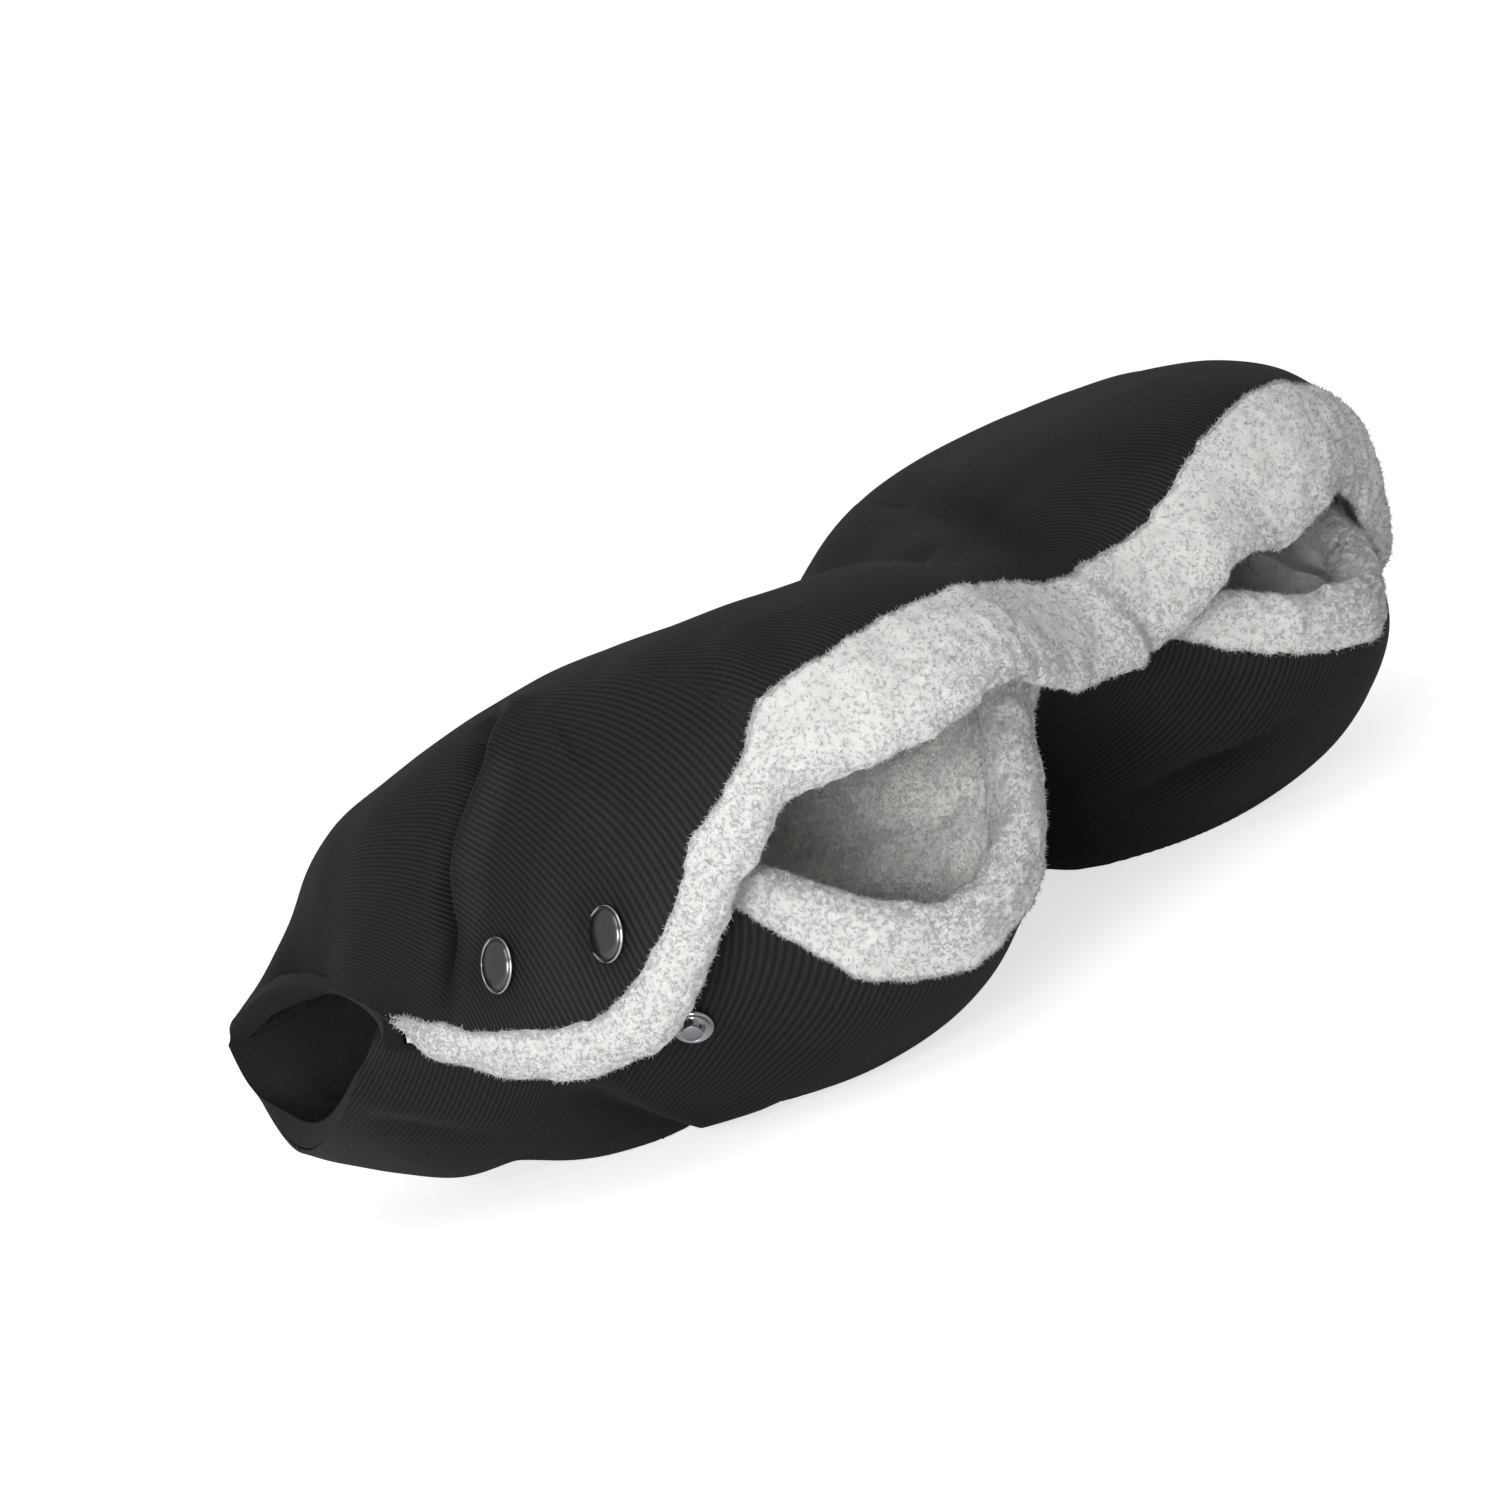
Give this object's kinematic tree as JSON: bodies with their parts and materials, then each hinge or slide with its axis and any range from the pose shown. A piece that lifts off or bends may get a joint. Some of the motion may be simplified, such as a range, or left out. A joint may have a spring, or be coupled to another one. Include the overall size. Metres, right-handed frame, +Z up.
{
  "type": "stroller hand muff",
  "caption": "Padded hand muff with two fleece-lined hand openings, wrapped round a stroller's push handle and closed at both ends by press-stud flaps.",
  "frame": {"origin": "centre of the muff's footprint, on the plane that its two bellies rest on", "axes": "+X along the push handle from the near sleeve to the far one, -Y towards the person who pushes, +Z up"},
  "size_m": [0.379, 0.2509, 0.1322],
  "materials": {
    "shell_cloth": "matt ribbed twill",
    "fleece": "deep pile",
    "wadding": "matt",
    "nickel": "polished"
  },
  "bodies": {
    "muff": {"lower_shell": "shell_cloth", "lower_wadding": "wadding", "lower_lining": "fleece", "upper_shell": "shell_cloth", "upper_wadding": "wadding", "upper_lining": "fleece", "upper_edge_roll": "fleece", "lower_near_edge_roll": "fleece", "lower_far_edge_roll": "fleece", "lower_near_hem_facing": "shell_cloth", "lower_far_hem_facing": "shell_cloth", "centre_hook_patch": "shell_cloth", "centre_loop_patch": "shell_cloth", "front_stud_near": "nickel", "front_stud_back_near": "nickel", "rear_stud_near": "nickel", "rear_stud_back_near": "nickel", "spare_stud_near": "nickel", "spare_stud_back_near": "nickel", "front_stud_far": "nickel", "front_stud_back_far": "nickel", "rear_stud_far": "nickel", "rear_stud_back_far": "nickel", "spare_stud_far": "nickel", "spare_stud_back_far": "nickel"},
    "flap_near": {"flap_near_shell": "shell_cloth", "flap_near_wadding": "wadding", "flap_near_lining": "fleece", "flap_near_edge_roll": "fleece", "flap_near_hem_facing": "shell_cloth", "front_cap_near": "nickel", "front_socket_near": "nickel", "rear_cap_near": "nickel", "rear_socket_near": "nickel"},
    "flap_far": {"flap_far_shell": "shell_cloth", "flap_far_wadding": "wadding", "flap_far_lining": "fleece", "flap_far_edge_roll": "fleece", "flap_far_hem_facing": "shell_cloth", "front_cap_far": "nickel", "front_socket_far": "nickel", "rear_cap_far": "nickel", "rear_socket_far": "nickel"}
  },
  "joints": [
    {"name": "flap_near_hinge", "type": "hinge", "parent": "muff", "child": "flap_near", "pos_m": [-0.1457, 0, 0.1238], "axis": [0, 1, 0], "range_deg": [0, 110]},
    {"name": "flap_far_hinge", "type": "hinge", "parent": "muff", "child": "flap_far", "pos_m": [0.1457, 0, 0.1238], "axis": [0, -1, 0], "range_deg": [0, 110]}
  ]
}
